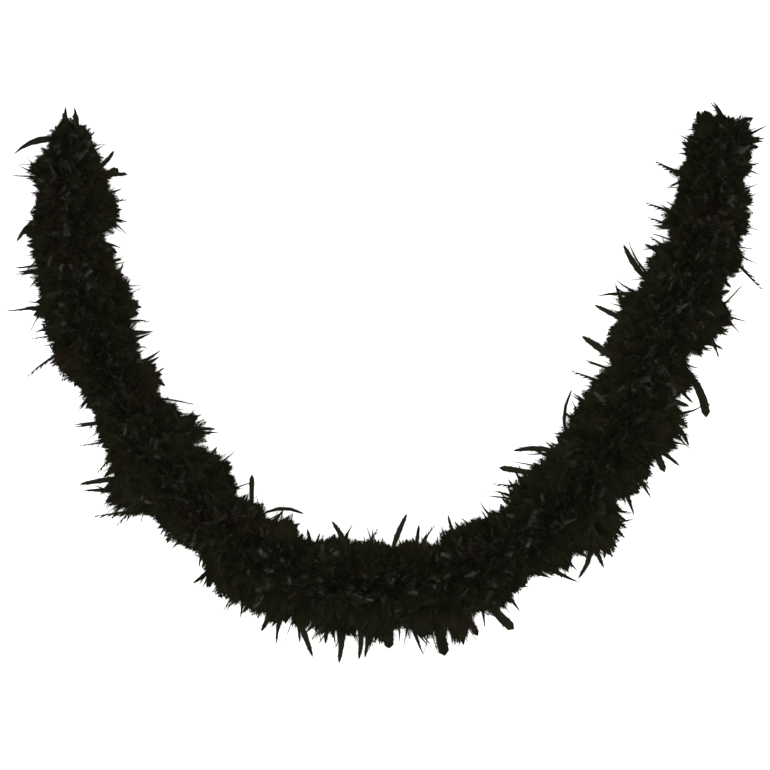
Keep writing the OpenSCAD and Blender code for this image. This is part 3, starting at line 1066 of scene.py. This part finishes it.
        # Some tips hang below the cord, and some stand a little above it
        tip = tip + UP * rng.uniform(-0.022, 0.012)
        chord = tip - place[0]
        span = float(np.linalg.norm(chord))
        start = -CHORD_TURN * curve
        aim = np.array([
            chord[0] * math.cos(start) - chord[1] * math.sin(start),
            chord[0] * math.sin(start) + chord[1] * math.cos(start),
            chord[2],
        ])
        across = np.array([-aim[1], aim[0], np.linalg.norm(aim) * rng.normal(0, 0.25)])
        made.add(
            shape, place + unit(aim[None]) * ROOT, aim[None], across[None],
            np.array([(span - 0.002) * (1 + 0.035 * curve**2)]), np.array([width * 0.65]),
            np.zeros(1), np.array([curve]), rng.uniform(0.15, 0.45, 1), np.array([0.002]),
        )

    def chosen(self, rng, made, middle):
        """The tuft's share of the feathers whose tips stand clear of the mass."""
        half = 0.5 / TUFTS_PER_LINK
        for side, tips in ((1, OUTER_TIPS), (-1, INNER_TIPS)):
            for t, reach, lean, curve, width, shape in tips:
                slope = math.tan(math.radians(lean - (1 - CHORD_TURN) * curve))
                root_t = t - reach / 1000 * slope / LINK_LENGTH
                root_t = min(max(root_t, 0.01), len(LINKS) - 0.01)
                if -half <= root_t - middle < half:
                    place, _, outward = around(np.array([t]), np.array([0.0]))
                    tip = place[0] + outward[0] * side * reach / 1000
                    self.single(rng, made, root_t, tip, side * math.radians(curve), width / 1000, shape)
        # Those past an end all start from the same place, a little way in from it
        inset = 0.08
        for end, along, tips in ((0.0, -1, LOOP_END_TIPS), (float(len(LINKS)), 1, KNOT_END_TIPS)):
            if abs(end - middle) < 2 * half:
                place, heading, outward = around(np.array([end]), np.array([0.0]))
                for aside, past, curve, width, shape in tips:
                    tip = place[0] + outward[0] * aside / 1000 + heading[0] * along * past / 1000
                    root_t, turn = end - along * inset, math.radians(curve)
                    self.single(rng, made, root_t, tip, turn, width / 1000, shape)

    def tips(self, rng, patterns, sizes, middle):
        """The tuft's long flat feathers and its loose barbs."""
        made = Planted(patterns)
        self.chosen(rng, made, middle)
        for name, share in (("spike", 0.55), ("blunt", 0.2), ("split", 0.1), ("frayed", 0.15)):
            n = int(sizes.tips * share)
            t, angle = self.places(rng, n, middle)
            level = rng.uniform(0, 1, n) < 0.6
            side = np.where(np.cos(angle) > 0, 0, math.pi)
            angle = np.where(level, side + rng.normal(0, 0.3, n), angle)
            place, along, outward = around(t, angle)
            aim = self.leaning(rng, t, outward, along, 0.35)
            limit = fitted(t, aim, angle, sizes.height)
            roll = rng.normal(0, 0.7, n)[:, None]
            across = along * np.cos(roll) + np.cross(outward, along) * np.sin(roll)
            beyond = rng.gamma(2.0, 0.005, n).clip(0, 0.022) * np.abs(np.cos(angle)) - 0.002
            made.add(
                name, place + outward * ROOT, aim, across, limit + beyond,
                sizes.tip_width / 2 * rng.uniform(0.4, 1.5, n),
                rng.normal(0, 0.35, n), rng.normal(0, 0.5, n),
                rng.uniform(0.1, 0.5, n), rng.uniform(0.001, 0.004, n),
            )
        n = sizes.hairs
        t, angle = self.places(rng, n, middle)
        place, along, outward = around(t, angle)
        limit = edge(t, angle, sizes.height)
        aim = self.leaning(rng, t, outward, along, 0.5)
        start = limit * rng.uniform(0.5, 0.95, n)
        made.add(
            "hair", place + outward * start[:, None], aim,
            rng.normal(0, 1, (n, 3)), room(t, aim, rng.uniform(0.008, 0.022, n)),
            rng.uniform(0.0003, 0.0006, n), rng.normal(0, 0.9, n), rng.normal(0, 0.6, n),
            rng.uniform(0.0, 0.5, n), rng.uniform(0.001, 0.004, n),
        )
        return made


class BOA_OT_stage(bpy.types.Operator):
    """Adds the floor, the soft lights and the pale surroundings"""

    bl_idname = "boa.stage"
    bl_label = "Stage"

    def execute(self, context):
        stage = context.scene.boa_stage
        deselect()
        bpy.ops.mesh.primitive_plane_add(size=8, location=(0, 0, -0.0005))
        floor = context.object
        floor.name = "floor"
        material, _, shader = new_finish("pale_paper")
        shader.inputs["Base Color"].default_value = linear(stage.floor)
        shader.inputs["Roughness"].default_value = 0.9
        shader.inputs["Specular IOR Level"].default_value = 0.1
        floor.data.materials.append(material)
        world = bpy.data.worlds.new("studio")
        world.use_nodes = True
        surroundings = world.node_tree.nodes["Background"]
        surroundings.inputs["Color"].default_value = (1, 1, 1, 1)
        surroundings.inputs["Strength"].default_value = 1.0
        context.scene.world = world
        # A soft light at the camera, so that the shadows fall out of its sight, and a wide dim one
        overhead = bpy.data.lights.new("overhead_light", "AREA")
        overhead.size, overhead.energy = 0.5, 105
        side = bpy.data.lights.new("side_light", "AREA")
        side.size, side.energy = 2.4, 18
        camera_place = tuple(context.scene.camera.location)
        for lamp, place in ((overhead, camera_place), (side, (-1.4, 1.4, 2.6))):
            o = bpy.data.objects.new(lamp.name, lamp)
            o.location = place
            o.rotation_euler = (-Vector(place)).to_track_quat("-Z", "Y").to_euler()
            context.scene.collection.objects.link(o)
        context.scene.view_settings.view_transform = "Standard"
        return {"FINISHED"}


class BOA_PT_panel(bpy.types.Panel):
    """The boa's settings and build steps"""

    bl_label = "Feather boa"
    bl_idname = "BOA_PT_panel"
    bl_space_type = "VIEW_3D"
    bl_region_type = "UI"
    bl_category = "Feather boa"

    def draw(self, context):
        for group in (context.scene.boa_cord, context.scene.boa_feathers, context.scene.boa_stage):
            for name in group.__annotations__:
                self.layout.prop(group, name)
        for operator in OPERATORS:
            self.layout.operator(operator.bl_idname)


OPERATORS = (
    BOA_OT_camera, BOA_OT_cord, BOA_OT_binding, BOA_OT_loop, BOA_OT_knot, BOA_OT_feathers, BOA_OT_stage,
)
CLASSES = (BoaCord, BoaFeathers, BoaStage, *OPERATORS, BOA_PT_panel)


def register():
    for c in CLASSES:
        bpy.utils.register_class(c)
    bpy.types.Scene.boa_cord = bpy.props.PointerProperty(type=BoaCord)
    bpy.types.Scene.boa_feathers = bpy.props.PointerProperty(type=BoaFeathers)
    bpy.types.Scene.boa_stage = bpy.props.PointerProperty(type=BoaStage)


def unregister():
    for name in ("boa_cord", "boa_feathers", "boa_stage"):
        delattr(bpy.types.Scene, name)
    for c in reversed(CLASSES):
        bpy.utils.unregister_class(c)


def main():
    register()
    bpy.ops.boa.camera()
    bpy.ops.boa.cord()
    bpy.ops.boa.binding()
    bpy.ops.boa.loop()
    bpy.ops.boa.knot()
    bpy.ops.boa.feathers()
    bpy.ops.boa.stage()


if __name__ == "__main__":
    main()
